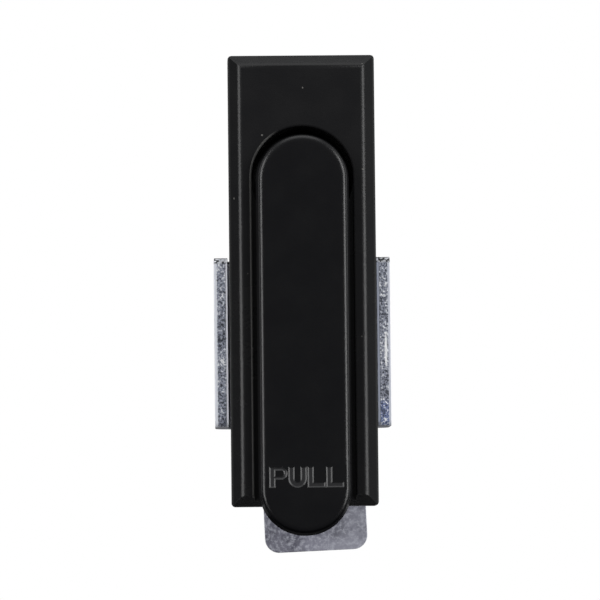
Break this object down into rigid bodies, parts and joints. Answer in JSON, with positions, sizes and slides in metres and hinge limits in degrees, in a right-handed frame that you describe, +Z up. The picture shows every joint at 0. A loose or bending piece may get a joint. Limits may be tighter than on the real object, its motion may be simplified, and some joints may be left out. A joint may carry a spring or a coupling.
{
  "type": "electrical cabinet lever lock",
  "caption": "Flush lift-and-turn lever lock for a cabinet door, with a bevelled bezel, a pull lever, a rear tongue and a clamp bracket.",
  "frame": {"origin": "on the spindle's axis, in the outer surface of the door, which is the rear face of the gasket", "axes": "front faces -Y, so +Y goes through the door, +X is to the viewer's right, +Z is up along the lever"},
  "size_m": [0.0392, 0.047, 0.1101],
  "materials": {
    "black_coat": "satin black powder coat on die-cast zinc",
    "lever_coat": "smooth black powder coat on die-cast zinc",
    "gasket_rubber": "matt black sheet rubber",
    "pad_rubber": "matt black rubber",
    "seal_rubber": "black nitrile rubber",
    "pin_steel": "bright ground steel",
    "spring_steel": "drawn spring steel wire",
    "spindle_zinc": "zinc-plated steel",
    "washer_polymer": "natural acetal",
    "plated_steel": "zinc-plated pressed steel",
    "tongue_steel": "mottled zinc-plated pressed steel",
    "bracket_steel": "zinc-plated bent sheet steel with rough sheared edges",
    "fastener_steel": "bright zinc-plated steel"
  },
  "bodies": {
    "lock_body": {"housing": "black_coat", "door_gasket": "gasket_rubber", "lever_pad_left": "pad_rubber", "lever_pad_right": "pad_rubber", "clamp_bracket": "bracket_steel", "clamp_screw_upper": "fastener_steel", "clamp_screw_lower": "fastener_steel", "clamp_flat_washer_upper": "fastener_steel", "clamp_flat_washer_lower": "fastener_steel", "clamp_spring_washer_upper": "fastener_steel", "clamp_spring_washer_lower": "fastener_steel"},
    "turning_spindle": {"spindle": "spindle_zinc", "hinge_pin": "pin_steel", "lever_spring": "spring_steel", "spindle_o_ring": "seal_rubber", "friction_washer": "washer_polymer", "stop_washer": "plated_steel", "tongue": "tongue_steel", "tongue_flat_washer": "fastener_steel", "tongue_spring_washer": "fastener_steel", "tongue_nut": "fastener_steel"},
    "pull_lever": {"lever": "lever_coat"}
  },
  "joints": [
    {"name": "spindle_turn", "type": "hinge", "parent": "lock_body", "child": "turning_spindle", "pos_m": [0, 0, 0], "axis": [0, -1, 0], "range_deg": [0, 90]},
    {"name": "lever_lift", "type": "hinge", "parent": "turning_spindle", "child": "pull_lever", "pos_m": [0, -0.0065, -0.0015], "axis": [-1, 0, 0], "range_deg": [0, 80], "stiffness_Nm_per_rad": 0.02, "springref_deg": -22.92, "deforming": ["lever_spring"]}
  ],
  "couplings": [
    {"joint": "spindle_turn", "follows": "lever_lift", "ratio": 1.125}
  ]
}
